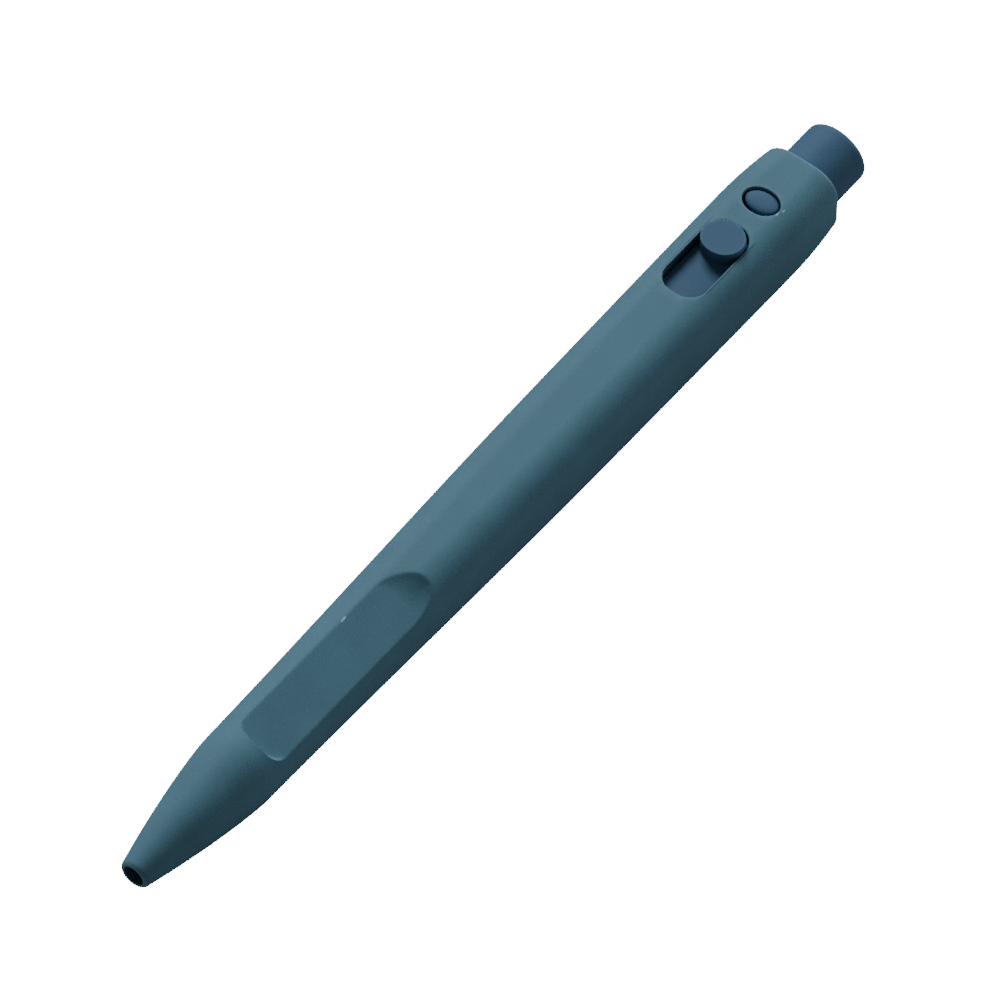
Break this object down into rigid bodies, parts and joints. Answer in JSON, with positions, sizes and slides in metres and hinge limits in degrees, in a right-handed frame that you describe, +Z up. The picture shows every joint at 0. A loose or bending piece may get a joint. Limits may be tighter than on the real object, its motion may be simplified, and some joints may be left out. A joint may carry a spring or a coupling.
{
  "type": "retractable ballpoint pen",
  "caption": "Clipless retractable ballpoint pen: one-piece barrel with grip flats, push button at the rear, and a side button that releases the latched tip.",
  "frame": {"origin": "bottom centre of the pen's box as it lies on its flat underside", "axes": "+X along the pen from the writing tip to the push button, +Z up, out of the face with the release button"},
  "size_m": [0.145, 0.0132, 0.0131],
  "materials": {
    "barrel_plastic": "matte moulded, filled plastic, dull blue-teal",
    "mechanism_plastic": "matte moulded, filled plastic, slightly darker and bluer",
    "spring_steel": "drawn wire",
    "refill_metal": "drawn tube",
    "refill_plastic": "moulded, white",
    "tip_brass": "turned",
    "ball_carbide": "polished",
    "ink": "thick paste, dark blue"
  },
  "bodies": {
    "barrel": {"barrel": "barrel_plastic", "return_spring": "spring_steel"},
    "plunger": {"plunger": "mechanism_plastic", "refill_tube": "refill_metal", "refill_end_plug": "refill_plastic", "refill_tip": "tip_brass", "ink_column": "ink"},
    "tongue": {"release_tongue": "mechanism_plastic"},
    "ball": {"writing_ball": "ball_carbide"}
  },
  "joints": [
    {"name": "plunger_press", "type": "slide", "parent": "barrel", "child": "plunger", "axis": [-1, 0, 0], "range_m": [0, 0.0071], "stiffness_N_per_m": 300, "springref_m": -0.005, "deforming": ["return_spring", "release_tongue"]},
    {"name": "release_press", "type": "hinge", "parent": "plunger", "child": "tongue", "pos_m": [0.0314, 0, 0.0091], "axis": [0, 1, 0], "range_deg": [0, 3.5], "stiffness_Nm_per_rad": 1.2},
    {"name": "ball_roll", "type": "hinge", "parent": "plunger", "child": "ball", "pos_m": [-0.0684, 0, 0.0062], "axis": [0, 1, 0], "continuous": true}
  ]
}
